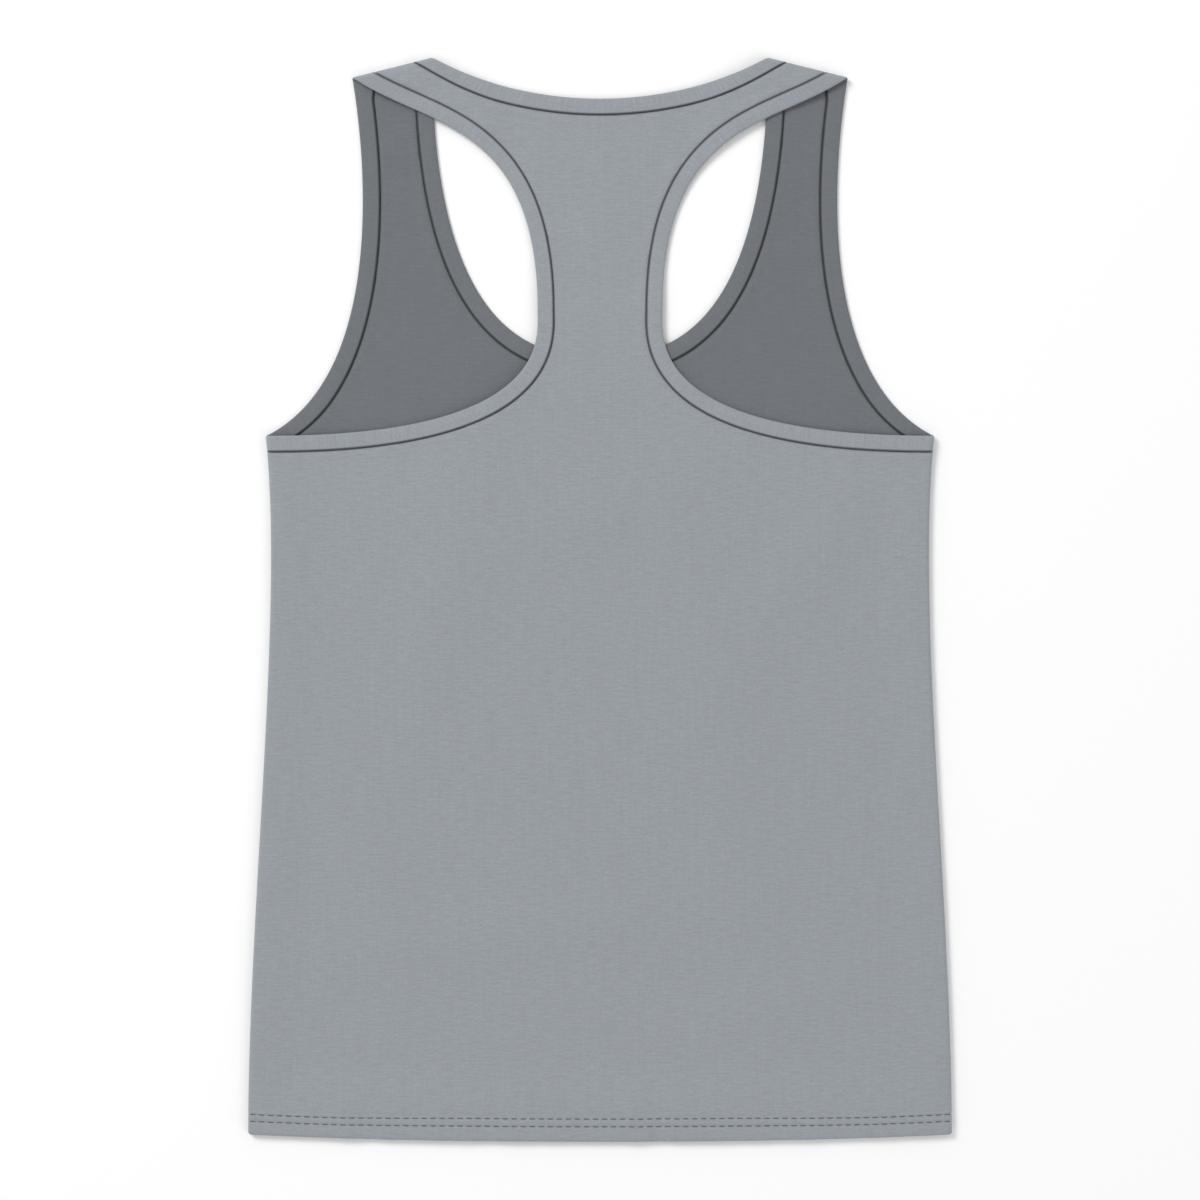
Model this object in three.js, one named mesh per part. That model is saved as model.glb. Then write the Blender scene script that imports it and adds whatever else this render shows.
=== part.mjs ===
// A racerback tank top in jersey, laid flat with its back uppermost and its front underneath.
// Millimetres. +Y runs from hem to neck, +X across the body, +Z up from the surface it lies on.
// The pieces are those that are cut and sewn: front, back, neck band and two armhole bands.
import * as THREE from 'three';

// Sizes of the garment laid flat. A HALF is measured from the centre line, a DROP from the neck point.
const LENGTH = 677.5;
const NECK_HALF = 105;
const SHOULDER_HALF = 155;
const CHEST_HALF = 209;
const HEM_HALF = 220;
const RACER_HALF = 39;
const SHOULDER_DROP = 12.5;
const BACK_NECK_DROP = 25.5;
const FRONT_NECK_DROP = 186.5;
const RACER_DROP = 158;
const ARMHOLE_DROP = 236.5;
const HEM_RISE = 4.5; // the side seam ends this much above the lowest point of the hem
const HEM_DEPTH = 14.5;
const HEM_POWER = 2.4; // how late the hem turns up towards the side seams

// Cloth
const WALL = 1.2;
const DOUBLE = 2; // a folded band, and the hem with its turned-up ply
const SEAM_GAP = 0.3;
const EDGE_ROUND = 0.6;
const BAND_WIDTH = { front: 11, back: 10.2 };

// Where a band crosses the shoulder or the side, its width along that line
const NECK_BAND_AT_SHOULDER = 12;
const ARM_BAND_AT_SHOULDER = 14.4;
const ARM_BAND_AT_SIDE = 10.2;
const LONG_TURN_IN = 40; // how far from a fold the band has its own width again
const SHORT_TURN_IN = 14; // the same under the back strap, where the front strap's bands come out

// Folds along the shoulders and the sides, as seen in a cut across them
const FOLD_RADIUS = 2.5;
const FOLD_HEIGHT = 4.8;
const FOLD_MIDDLE = 2.6; // height of the seam that joins front and back in the fold
const FOLD_TURNS = [0, 1 / 2, Math.sqrt(3) / 2, 1]; // sines of the angles at which a fold is cut

// Heights of the underside of the back: on the front panel, on a front band, in the open front neck
const ON_PANEL = WALL + 0.3;
const ON_BAND = DOUBLE + 0.4;
const IN_FRONT_NECK = 0.5;
const AT_FOLD = FOLD_HEIGHT - WALL;
const LIFT_FADE = 30; // how far from a band or fold the back has sunk to the panel

// Steps of the mesh, along each stretch of an edge
const STEPS = { strap: 8, yoke: 6, flare: 14, scoop: 16, chest: 6, body: 12, aboveHem: 3 };
const COLUMNS = 7;
const ABOVE_HEM = 60; // the stretch over the hem where the back rises on to it

const TOP = LENGTH / 2;
const vector = (x, y) => new THREE.Vector2(x, y);
const at = (half, drop) => vector(half, TOP - drop);
const neckPoint = at(NECK_HALF, 0);
const shoulderTip = at(SHOULDER_HALF, SHOULDER_DROP);
const racer = at(RACER_HALF, RACER_DROP);
const armpit = at(CHEST_HALF, ARMHOLE_DROP);
const hemCorner = at(HEM_HALF, LENGTH - HEM_RISE);

// A curve between two points, given how its handles leave the first and reach the second
function curve(from, leave, reach, to) {
  return new THREE.CubicBezierCurve(from, from.clone().add(leave), to.clone().add(reach), to);
}

const backNeck = curve(neckPoint, vector(-35, -19), vector(31, 0), at(0, BACK_NECK_DROP));
const frontNeck = curve(neckPoint, vector(-0.3, -188), vector(28, 0), at(0, FRONT_NECK_DROP));
const frontArmhole = curve(shoulderTip, vector(-7, -40), vector(-78, 39), armpit);
const backArmhole = new THREE.CurvePath();
backArmhole.add(curve(shoulderTip, vector(-44, -31), vector(0, 120), racer));
backArmhole.add(curve(racer, vector(0, -17), vector(-180, 0), armpit));
const side = curve(armpit, vector(-11.5, -108), vector(-0.4, 149), hemCorner);

// The fold lines: which way the line runs, and the way out of the garment square to it
const shoulderLine = shoulderTip.clone().sub(neckPoint).normalize();
const shoulderOut = vector(-shoulderLine.y, shoulderLine.x);
const sideLine = side.getTangent(0);
const sideOut = vector(-sideLine.y, sideLine.x);
const folds = {
  neckAtShoulder: { along: shoulderLine, out: shoulderOut, width: NECK_BAND_AT_SHOULDER },
  armAtShoulder: {
    along: shoulderLine.clone().negate(), out: shoulderOut, width: ARM_BAND_AT_SHOULDER,
  },
  armAtSide: { along: sideLine, out: sideOut, width: ARM_BAND_AT_SIDE },
};

// Each bound edge runs from the shoulder to the centre line or to the side. Its stretches end at
// these shares of its length, and inward is the turn from its direction to the cloth beside it.
const edges = {
  backNeck: {
    curve: backNeck, band: 'back', inward: 1, turnIn: LONG_TURN_IN, start: folds.neckAtShoulder,
    stretches: [{ end: 1, steps: STEPS.strap }],
  },
  frontNeck: {
    curve: frontNeck, band: 'front', inward: 1, turnIn: SHORT_TURN_IN, start: folds.neckAtShoulder,
    stretches: [{ end: 1, steps: STEPS.scoop }],
  },
  backArmhole: {
    curve: backArmhole, band: 'back', inward: -1, turnIn: LONG_TURN_IN,
    start: folds.armAtShoulder, end: folds.armAtSide,
    stretches: [
      { end: 0.27, steps: STEPS.strap },
      { end: 0.48, steps: STEPS.yoke },
      { end: 1, steps: STEPS.flare },
    ],
  },
  frontArmhole: {
    curve: frontArmhole, band: 'front', inward: -1, turnIn: SHORT_TURN_IN,
    start: folds.armAtShoulder, end: folds.armAtSide,
    stretches: [
      { end: 0.72, steps: STEPS.scoop },
      { end: 1, steps: STEPS.chest },
    ],
  },
};

// The point, direction and way to the cloth at a distance along an edge, also a little past its ends
function frameAt(edge, distance) {
  const length = edge.curve.getLength();
  const share = THREE.MathUtils.clamp(distance / length, 0, 1);
  const tangent = edge.curve.getTangentAt(share);
  const point = edge.curve.getPointAt(share).addScaledVector(tangent, distance - share * length);
  return { point, tangent, square: vector(-tangent.y, tangent.x).multiplyScalar(edge.inward) };
}

// How a seam meets the fold line at one end of its edge. Measured from where the fold starts, the
// place on the fold line is this far along the edge and across from it, less a small miss where the
// edge is curved.
function meeting(edge, fold, end, turnIn) {
  const way = end === 0 ? 1 : -1;
  const reach = FOLD_RADIUS / Math.abs(edge.curve.getTangentAt(end).dot(fold.out));
  const from = end * edge.curve.getLength() + way * reach;
  const { point, tangent, square } = frameAt(edge, from);
  const shift = fold.width * fold.along.dot(tangent);
  const across = fold.width * fold.along.dot(square);
  const foot = frameAt(edge, from + shift);
  const natural = foot.point.addScaledVector(foot.square, across);
  const miss = point.addScaledVector(fold.along, fold.width).sub(natural);
  return { from, way, reach, shift, across, miss, turnIn };
}

// Stations along an edge: a point, the way across the band there, its width, half the seam's gap
// measured that way, the turn of a fold, and the way out of the fold along the edge
function stationsOf(edge) {
  const length = edge.curve.getLength();
  const start = meeting(edge, edge.start, 0, edge.turnIn);
  const end = edge.end ? meeting(edge, edge.end, 1, LONG_TURN_IN) : null;
  const inFold = (distance, turn, fold) => {
    const { point, tangent, square } = frameAt(edge, distance);
    const out = tangent.clone().divideScalar(tangent.dot(fold.out));
    const halfGap = SEAM_GAP / 2 / fold.along.dot(square);
    return { point, across: fold.along, width: fold.width, halfGap, turn, out };
  };
  const flat = (distance) => {
    const { point, square } = frameAt(edge, distance);
    let [foot, width] = [distance, BAND_WIDTH[edge.band]];
    const miss = vector(0, 0);
    for (const near of end ? [start, end] : [start]) {
      const share = 1 - THREE.MathUtils.smoothstep((distance - near.from) * near.way, 0, near.turnIn);
      foot += near.shift * share;
      width = THREE.MathUtils.lerp(width, near.across, share);
      miss.addScaledVector(near.miss, share);
    }
    const seam = frameAt(edge, foot);
    const across = seam.point.addScaledVector(seam.square, width).add(miss).sub(point);
    const span = across.length();
    across.divideScalar(span);
    const halfGap = SEAM_GAP / 2 / across.dot(square);
    return { point, across, width: span, halfGap, turn: 0, out: vector(0, 0) };
  };
  const list = FOLD_TURNS.slice(1).toReversed()
    .map((turn) => inFold(start.reach * (1 - turn), turn, edge.start));
  list.push(flat(start.from));
  let from = start.from;
  for (const stretch of edge.stretches) {
    const to = stretch.end === 1 && end ? end.from : length * stretch.end;
    for (let step = 1; step <= stretch.steps; step += 1) {
      list.push(flat(THREE.MathUtils.lerp(from, to, step / stretch.steps)));
    }
    from = to;
  }
  if (end) {
    for (const turn of FOLD_TURNS.slice(1)) {
      list.push(inFold(length - end.reach * (1 - turn), turn, edge.end));
    }
  }
  return list;
}

const stations = Object.fromEntries(Object.entries(edges).map(([name, edge]) => [name, stationsOf(edge)]));

// Half width of the body at a height, between the armpit and the hem
const sidePoints = side.getPoints(200);
function halfWidthAt(y) {
  const below = sidePoints.findIndex((point) => point.y <= y);
  if (below < 1) {
    return below === 0 ? armpit.x : hemCorner.x;
  }
  const [upper, lower] = [sidePoints[below - 1], sidePoints[below]];
  return THREE.MathUtils.mapLinear(y, upper.y, lower.y, upper.x, lower.x);
}

// The distance from a place to the nearest of a curve's points, and whether it is on the curve's left
function distanceTo(points, place) {
  let best = 0;
  points.forEach((point, index) => {
    if (point.distanceToSquared(place) < points[best].distanceToSquared(place)) {
      best = index;
    }
  });
  const before = points[Math.max(best - 1, 0)];
  const after = points[Math.min(best + 1, points.length - 1)];
  const offset = place.clone().sub(points[best]);
  return { distance: offset.length(), left: after.clone().sub(before).cross(offset) > 0 };
}

// Height of the back panel's outer face: it lies on the front, and rises over bands, folds and hem
const reference = {
  frontNeck: frontNeck.getSpacedPoints(90),
  frontArmhole: frontArmhole.getSpacedPoints(90),
  side: side.getSpacedPoints(160),
  shoulder: new THREE.LineCurve(neckPoint, shoulderTip).getSpacedPoints(30),
};
function backHeight(x, y) {
  const place = vector(Math.abs(x), y);
  const fade = (distance, flat) => 1 - THREE.MathUtils.smoothstep(distance, flat, flat + LIFT_FADE);
  const neck = distanceTo(reference.frontNeck, place);
  const fromNeckEdge = neck.left ? -neck.distance : neck.distance;
  const overCloth = fade(fromNeckEdge, 8);
  const base = THREE.MathUtils.lerp(IN_FRONT_NECK, ON_PANEL, overCloth);
  const lifts = [
    { height: ON_BAND, share: fade(neck.distance, BAND_WIDTH.front + 8) },
    {
      height: ON_BAND,
      share: fade(distanceTo(reference.frontArmhole, place).distance, BAND_WIDTH.front + 8),
    },
    { height: AT_FOLD, share: fade(distanceTo(reference.side, place).distance, 2 * FOLD_RADIUS) },
    { height: AT_FOLD, share: fade(distanceTo(reference.shoulder, place).distance, 2 * FOLD_RADIUS) },
    { height: AT_FOLD, share: fade(y + TOP, HEM_DEPTH + HEM_RISE) },
  ];
  const underside = lifts.map((lift) => THREE.MathUtils.lerp(base, lift.height, lift.share));
  return Math.max(...underside) + WALL;
}

// A point of the cloth, at a depth under its outer face. The spot gives its place in plan, and how
// far a fold has turned there. A band stands proud of the back, and has no seam in its folds.
const PANEL = { proud: 0, halfGap: SEAM_GAP / 2 };
const BAND = { proud: DOUBLE - WALL, halfGap: 0 };
function lay(spot, depth, layer, cloth) {
  if (spot.turn === 0) {
    const z = layer === 'front' ? depth : backHeight(spot.x, spot.y) + cloth.proud - depth;
    return new THREE.Vector3(spot.x, spot.y, z);
  }
  const level = Math.sqrt(1 - spot.turn ** 2);
  const below = FOLD_MIDDLE - cloth.halfGap;
  const above = FOLD_MIDDLE + cloth.halfGap;
  const crown = FOLD_HEIGHT + cloth.proud - depth;
  const z = layer === 'front' ? below + (depth - below) * level : above + (crown - above) * level;
  const inside = depth * spot.turn;
  return new THREE.Vector3(spot.x - spot.out.x * inside, spot.y - spot.out.y * inside, z);
}

// The same spot on the other half of the garment
function mirrored(spot) {
  return { ...spot, x: -spot.x, out: vector(-spot.out.x, spot.out.y) };
}

function spotAt(station, across) {
  const place = station.point.clone().addScaledVector(station.across, across);
  return { x: place.x, y: place.y, turn: station.turn, out: station.out };
}

function geometryOf(points, faces) {
  const volume = faces.reduce((sum, [a, b, c]) => {
    return sum + points[a].dot(points[b].clone().cross(points[c]));
  }, 0);
  const outward = volume > 0 ? faces : faces.map(([a, b, c]) => [a, c, b]);
  const geometry = new THREE.BufferGeometry().setFromPoints(points);
  geometry.setIndex(outward.flat());
  geometry.computeVertexNormals();
  return geometry;
}

// A band is one folded strip, its rounded section carried round a closed row of stations
function bandSection(station, layer, mirror) {
  const width = station.width - station.halfGap;
  const outline = [
    [EDGE_ROUND, 0], [width, 0], [width, DOUBLE],
    [EDGE_ROUND, DOUBLE], [0, DOUBLE - EDGE_ROUND], [0, EDGE_ROUND],
  ];
  return outline.map(([across, depth]) => {
    const spot = spotAt(station, across);
    return lay(mirror ? mirrored(spot) : spot, depth, layer, BAND);
  });
}

function bandGeometry(sections) {
  const points = sections.flat();
  const count = sections[0].length;
  const faces = [];
  sections.forEach((section, index) => {
    const next = (index + 1) % sections.length;
    for (let k = 0; k < count; k += 1) {
      const [a, b] = [index * count + k, index * count + ((k + 1) % count)];
      const [c, d] = [next * count + ((k + 1) % count), next * count + k];
      faces.push([a, b, c], [a, c, d]);
    }
  });
  return geometryOf(points, faces);
}

function neckBandGeometry() {
  const half = (mirror) => [
    ...stations.backNeck.toReversed().map((station) => bandSection(station, 'back', mirror)),
    ...stations.frontNeck.slice(1).map((station) => bandSection(station, 'front', mirror)),
  ];
  return bandGeometry([...half(false), ...half(true).toReversed().slice(1, -1)]);
}

function armholeBandGeometry(mirror) {
  const front = stations.frontArmhole.map((station) => bandSection(station, 'front', mirror));
  const back = stations.backArmhole.map((station) => bandSection(station, 'back', mirror));
  return bandGeometry([...front, ...back.toReversed().slice(1, -1)]);
}

// A row of a panel runs from the neck seam or the centre line to the armhole seam or the side
const bodyTop = spotAt(stations.backArmhole.at(-1), ARM_BAND_AT_SIDE + SEAM_GAP / 2).y;
const seamSpot = (station) => spotAt(station, station.width + station.halfGap);
const plain = [0, WALL];
const doubled = [0, DOUBLE];
const hemEdge = [EDGE_ROUND, DOUBLE - EDGE_ROUND];

function upperRows(neck, armhole, stretches) {
  const rows = neck.map((station, index) => ({
    inner: seamSpot(station), outer: seamSpot(armhole[index]), turn: station.turn, depths: plain, power: 1,
  }));
  let from = rows.at(-1).inner.y;
  for (const stretch of stretches) {
    for (let step = 1; step <= stretch.steps; step += 1) {
      const y = THREE.MathUtils.lerp(from, stretch.to, (step / stretch.steps) ** stretch.pace);
      const outer = seamSpot(armhole[rows.length]);
      rows.push({ inner: { x: 0, y }, outer, turn: 0, depths: plain, power: 1 });
    }
    from = stretch.to;
  }
  return rows;
}

function bodyRow(overHem, depths) {
  const share = 1 - overHem / (bodyTop + TOP);
  const inner = { x: 0, y: THREE.MathUtils.lerp(bodyTop, -TOP, share) };
  const y = THREE.MathUtils.lerp(bodyTop, hemCorner.y, share);
  return { inner, outer: { x: halfWidthAt(y), y }, turn: 0, depths, power: HEM_POWER };
}

function bodyRows() {
  const heights = [];
  for (let step = 0; step < STEPS.body; step += 1) {
    heights.push(THREE.MathUtils.lerp(bodyTop + TOP, ABOVE_HEM, step / STEPS.body));
  }
  for (let step = 0; step <= STEPS.aboveHem; step += 1) {
    heights.push(THREE.MathUtils.lerp(ABOVE_HEM, HEM_DEPTH + DOUBLE - WALL, step / STEPS.aboveHem));
  }
  const hem = [HEM_DEPTH, HEM_DEPTH / 2, EDGE_ROUND];
  return [
    ...heights.map((height) => bodyRow(height, plain)),
    ...hem.map((height) => bodyRow(height, doubled)),
    bodyRow(0, hemEdge),
  ];
}

// The spots of a row, closer together towards the side, with the last few in the side fold
function spotsOf(row) {
  const width = row.outer.x - row.inner.x;
  const flatShare = 1 - FOLD_RADIUS / Math.hypot(width, row.outer.y - row.inner.y);
  const shares = [];
  for (let column = 0; column <= COLUMNS; column += 1) {
    shares.push(flatShare * (1 - (1 - column / COLUMNS) ** 1.5));
  }
  FOLD_TURNS.slice(1).forEach((turn) => shares.push(1 - (1 - flatShare) * (1 - turn)));
  return shares.map((share) => {
    const x = row.inner.x + width * share;
    const y = THREE.MathUtils.lerp(row.inner.y, row.outer.y, share ** row.power);
    if (row.turn > 0) {
      return { x, y, turn: row.turn, out: row.inner.out.clone().lerp(row.outer.out, share) };
    }
    const sideTurn = y > armpit.y ? 0 : 1 - (halfWidthAt(y) - x) / FOLD_RADIUS;
    return { x, y, turn: THREE.MathUtils.clamp(sideTurn, 0, 1), out: vector(1, 0) };
  });
}

// A panel from its rows: both faces of the right half and of its mirror image, joined on the centre
// line, and closed by a wall along every free edge
function panelGeometry(rows, layer) {
  const outer = [];
  const inner = [];
  const faces = [];
  const centre = new Map();
  const addSpot = (spot, depths, key) => {
    if (centre.has(key)) {
      return centre.get(key);
    }
    outer.push(lay(spot, depths[0], layer, PANEL));
    inner.push(lay(spot, depths[1], layer, PANEL));
    if (spot.x === 0) {
      centre.set(key, outer.length - 1);
    }
    return outer.length - 1;
  };
  for (const mirror of [false, true]) {
    const grid = rows.map((row, index) => spotsOf(row).map((spot, column) => {
      const onCentre = Math.abs(spot.x) < 0.01;
      const placed = onCentre ? { ...spot, x: 0 } : spot;
      const key = onCentre && column === 0 ? index : undefined;
      return addSpot(mirror && !onCentre ? mirrored(placed) : placed, row.depths, key);
    }));
    for (let i = 1; i < grid.length; i += 1) {
      for (let j = 1; j < grid[i].length; j += 1) {
        const [a, b, c, d] = [grid[i - 1][j - 1], grid[i - 1][j], grid[i][j], grid[i][j - 1]];
        faces.push(...(mirror ? [[a, b, c], [a, c, d]] : [[a, c, b], [a, d, c]]));
      }
    }
  }
  return closedSheet(outer, inner, faces);
}

function closedSheet(outer, inner, faces) {
  const under = outer.length;
  const directed = new Set();
  const walls = [];
  faces.forEach(([a, b, c]) => [[a, b], [b, c], [c, a]].forEach(([p, q]) => directed.add(`${p} ${q}`)));
  for (const edge of directed) {
    const [p, q] = edge.split(' ').map(Number);
    if (!directed.has(`${q} ${p}`)) {
      walls.push([q, p, p + under], [q, p + under, q + under]);
    }
  }
  const back = faces.map(([a, b, c]) => [a + under, c + under, b + under]);
  return geometryOf([...outer, ...inner], [...faces, ...back, ...walls]);
}

function frontPanelGeometry() {
  const chest = [{ to: bodyTop, steps: STEPS.chest, pace: 1 }];
  const upper = upperRows(stations.frontNeck, stations.frontArmhole, chest);
  return panelGeometry([...upper, ...bodyRows()], 'front');
}

function backPanelGeometry() {
  const below = [
    { to: racer.y, steps: STEPS.yoke, pace: 1 },
    { to: bodyTop, steps: STEPS.flare, pace: 0.6 },
  ];
  const upper = upperRows(stations.backNeck, stations.backArmhole, below);
  return panelGeometry([...upper, ...bodyRows()], 'back');
}

const jersey = new THREE.MeshStandardMaterial({ color: 0x989da3, roughness: 0.92, metalness: 0 });
const inside = new THREE.MeshStandardMaterial({ color: 0x72757a, roughness: 0.95, metalness: 0 });
const binding = new THREE.MeshStandardMaterial({ color: 0x989da3, roughness: 0.9, metalness: 0 });

const pieces = {
  front_panel: { geometry: frontPanelGeometry(), material: inside },
  back_panel: { geometry: backPanelGeometry(), material: jersey },
  neck_band: { geometry: neckBandGeometry(), material: binding },
  armhole_band_left: { geometry: armholeBandGeometry(true), material: binding },
  armhole_band_right: { geometry: armholeBandGeometry(false), material: binding },
};

const tankTop = new THREE.Group();
for (const [name, { geometry, material }] of Object.entries(pieces)) {
  const mesh = new THREE.Mesh(geometry, material);
  mesh.name = name;
  tankTop.add(mesh);
}

// The origin is under the middle of the garment's own box
const middle = new THREE.Box3().setFromObject(tankTop).getCenter(new THREE.Vector3());
tankTop.position.y = -middle.y;

export default tankTop;
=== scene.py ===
"""A racerback tank top in grey jersey, laid flat with its back up on a pale floor.

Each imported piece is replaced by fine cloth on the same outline: two knitted panels with rolled seam
edges, three strips folded double as bands, and the twin rows of stitches that hold the hems.
"""
import math

import bpy
import numpy as np
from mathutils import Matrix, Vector
from mathutils.geometry import delaunay_2d_cdt


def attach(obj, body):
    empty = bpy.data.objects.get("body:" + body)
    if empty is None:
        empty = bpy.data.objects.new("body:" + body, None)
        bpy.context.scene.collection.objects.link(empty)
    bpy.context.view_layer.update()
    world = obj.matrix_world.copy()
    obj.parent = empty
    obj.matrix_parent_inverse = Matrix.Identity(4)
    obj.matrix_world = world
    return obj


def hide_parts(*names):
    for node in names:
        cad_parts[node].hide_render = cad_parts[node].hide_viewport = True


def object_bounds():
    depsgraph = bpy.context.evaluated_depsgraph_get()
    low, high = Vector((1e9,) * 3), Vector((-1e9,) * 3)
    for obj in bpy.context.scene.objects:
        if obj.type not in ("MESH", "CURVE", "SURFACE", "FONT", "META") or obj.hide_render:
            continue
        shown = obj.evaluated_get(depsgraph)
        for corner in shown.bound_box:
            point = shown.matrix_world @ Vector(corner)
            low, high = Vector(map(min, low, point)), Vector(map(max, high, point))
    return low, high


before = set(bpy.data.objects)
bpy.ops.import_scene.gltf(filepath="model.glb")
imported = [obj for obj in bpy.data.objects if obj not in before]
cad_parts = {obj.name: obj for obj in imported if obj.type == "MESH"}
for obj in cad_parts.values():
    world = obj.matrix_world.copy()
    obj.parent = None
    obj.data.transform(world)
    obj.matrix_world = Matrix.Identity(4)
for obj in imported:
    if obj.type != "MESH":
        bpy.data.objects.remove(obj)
cad_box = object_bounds()

MM = 0.001

# Sizes of the garment laid flat. A HALF is measured from the centre line, a DROP from the neck point.
LENGTH = 677.5 * MM
NECK_HALF = 105 * MM
SHOULDER_HALF = 155 * MM
CHEST_HALF = 209 * MM
HEM_HALF = 220 * MM
RACER_HALF = 39 * MM
SHOULDER_DROP = 12.5 * MM
BACK_NECK_DROP = 25.5 * MM
FRONT_NECK_DROP = 186.5 * MM
RACER_DROP = 158 * MM
ARMHOLE_DROP = 236.5 * MM
HEM_RISE = 4.5 * MM
HEM_DEPTH = 14.5 * MM
HEM_POWER = 2.4

# Cloth. A band is a strip folded double, and the hem is two plies of its panel.
WALL = 1.2 * MM
SHEET = 1.0 * MM
DOUBLE = 2 * MM
PLY = 0.92 * MM
TUCK = 0.3 * MM
FRONT_BAND = 11 * MM
BACK_BAND = 10.2 * MM
NECK_BAND_AT_SHOULDER = 12 * MM
ARM_BAND_AT_SHOULDER = 14.4 * MM
ARM_BAND_AT_SIDE = 10.2 * MM
LONG_TURN_IN = 40 * MM
SHORT_TURN_IN = 14 * MM

# Folds, and the heights of the underside of the back
FOLD_RADIUS = 2.5 * MM
FOLD_HEIGHT = 4.8 * MM
FOLD_MIDDLE = 2.6 * MM
ON_PANEL = WALL + 0.3 * MM
ON_BAND = DOUBLE + 0.4 * MM
IN_FRONT_NECK = 0.5 * MM
AT_FOLD = FOLD_HEIGHT - WALL
LIFT_FADE = 30 * MM

# Twin-needle stitching of the hem: how far the rows are above the edge near the sides, how much more
# in the middle, and the size of a stitch
STITCH_ROWS = (8.5 * MM, 12.8 * MM)
DEEPER_IN_MIDDLE = 0.12
STITCH_PITCH = 5.635 * MM
STITCH_LENGTH = 4.25 * MM
THREAD_RADIUS = 0.27 * MM

# Knitted loops
WALE = 0.8 * MM
COURSE = 0.62 * MM

# Steps of the fine meshes
EDGE_STEP = 2 * MM
BODY_STEP = 3.4 * MM
BAND_STEP = 1.5 * MM
FOLD_STEPS = 9
EDGE_OFFSETS = np.array([0.04, 0.14, 0.32, 0.58, 0.95, 1.5, 2.3, 3.4, 5, 7]) * MM
HEM_ROWS = np.array([
    1, 2.5, 4.2, 6.2, 7.2, 7.9, 8.3, 8.6, 8.9, 9.3, 10, 10.8, 11.6, 12.3, 12.7, 13, 13.3, 13.7, 14.1,
    14.5, 14.9, 15.4, 16.2, 17.4, 19.5,
]) * MM

# Wavelengths of the ripples that sewing leaves in the cloth, in millimetres
PUCKERS = (7.9, 11.3, 17, 27)
RIPPLES = (31, 44, 67)

# Heights of the relief: beside a seam, over its allowance, along the hem, and on a band
PUCKER_HEIGHT = 0.22 * MM
RIPPLE_HEIGHT = 0.3 * MM
ALLOWANCE_HEIGHT = 0.26 * MM
HEM_RIPPLE_HEIGHT = 0.42 * MM
BAND_PUFF = 0.22 * MM
BAND_PUCKER = 0.16 * MM

# Low, broad swells of the uppermost cloth, in millimetres and degrees
SWELLS = (
    {"x": -95, "y": 20, "angle": 78, "half_length": 150, "half_breadth": 26, "height": 1.8},
    {"x": 78, "y": -110, "angle": 98, "half_length": 170, "half_breadth": 30, "height": 2.0},
    {"x": 12, "y": 60, "angle": 24, "half_length": 110, "half_breadth": 22, "height": 1.2},
    {"x": -45, "y": -210, "angle": 6, "half_length": 140, "half_breadth": 20, "height": 1.3},
    {"x": 135, "y": 30, "angle": 56, "half_length": 100, "half_breadth": 20, "height": 1.4},
    {"x": -145, "y": -170, "angle": 108, "half_length": 110, "half_breadth": 22, "height": 1.4},
    {"x": 20, "y": -30, "angle": -34, "half_length": 120, "half_breadth": 18, "height": 1.0},
    {"x": 0, "y": 235, "angle": 84, "half_length": 60, "half_breadth": 14, "height": 0.7},
    {"x": 120, "y": -250, "angle": 16, "half_length": 80, "half_breadth": 16, "height": 0.9},
)

# Colours, as linear light
OUTSIDE_GREY = (0.314, 0.337, 0.366)
# The inside is a darker copy of the outside grey. This is painted shade on the cloth seen through the
# openings, for the jersey's wrong side has the same colour.
INSIDE_SHADED_GREY = (0.16, 0.17, 0.186)
THREAD_GREY = (0.082, 0.088, 0.097)

BOTTOM = cad_box[0][1]
TOP = BOTTOM + LENGTH


def falloff(distance, flat, fade):
    """1 up to a distance of flat, then smoothly down to 0 over fade."""
    t = np.clip((distance - flat) / fade, 0, 1)
    return 1 - t * t * (3 - 2 * t)


def bezier(start, leave, reach, end):
    """Points of a curve whose handles leave its start and reach its end by these many millimetres."""
    first = start + np.array(leave) * MM
    second = end + np.array(reach) * MM
    t = np.linspace(0, 1, 500)[:, None]
    return (1 - t) ** 3 * start + 3 * (1 - t) ** 2 * t * first + 3 * (1 - t) * t**2 * second + t**3 * end


def square_to(direction):
    """A quarter turn to the left."""
    return np.stack([-direction[..., 1], direction[..., 0]], axis=-1)


class Line:
    """A line in plan, read by the distance along it, also a little past its ends."""

    def __init__(self, points):
        self.points = points
        self.arc = np.concatenate([[0], np.cumsum(np.linalg.norm(np.diff(points, axis=0), axis=1))])
        self.length = self.arc[-1]

    def inside(self, distance):
        return np.stack([np.interp(distance, self.arc, self.points[:, k]) for k in (0, 1)], axis=-1)

    def direction(self, distance):
        reach = 0.5 * MM
        held = np.clip(distance, reach, self.length - reach)
        step = self.inside(held + reach) - self.inside(held - reach)
        return step / np.linalg.norm(step, axis=-1, keepdims=True)

    def at(self, distance):
        held = np.clip(distance, 0, self.length)
        past = np.expand_dims(distance - held, -1)
        return self.inside(held) + self.direction(held) * past

    def nearest(self, places):
        """Distance from each place to the line, how far along it is nearest, and whether it is left."""
        arcs = np.linspace(0, self.length, max(int(self.length / (1.5 * MM)), 2))
        nodes = self.inside(arcs)
        start, step = nodes[:-1], np.diff(nodes, axis=0)
        found = []
        for chunk in np.array_split(places, max(len(places) // 3000, 1)):
            offset = chunk[:, None] - start[None]
            share = np.clip((offset * step).sum(2) / (step**2).sum(1), 0, 1)
            miss = offset - share[..., None] * step
            gap = np.hypot(miss[..., 0], miss[..., 1])
            best = gap.argmin(axis=1)
            row = np.arange(len(chunk))
            along = arcs[best] + share[row, best] * arcs[1]
            left = step[best, 0] * miss[row, best, 1] - step[best, 1] * miss[row, best, 0] > 0
            found.append(np.stack([gap[row, best], along, left], axis=1))
        return np.concatenate(found).T


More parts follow.
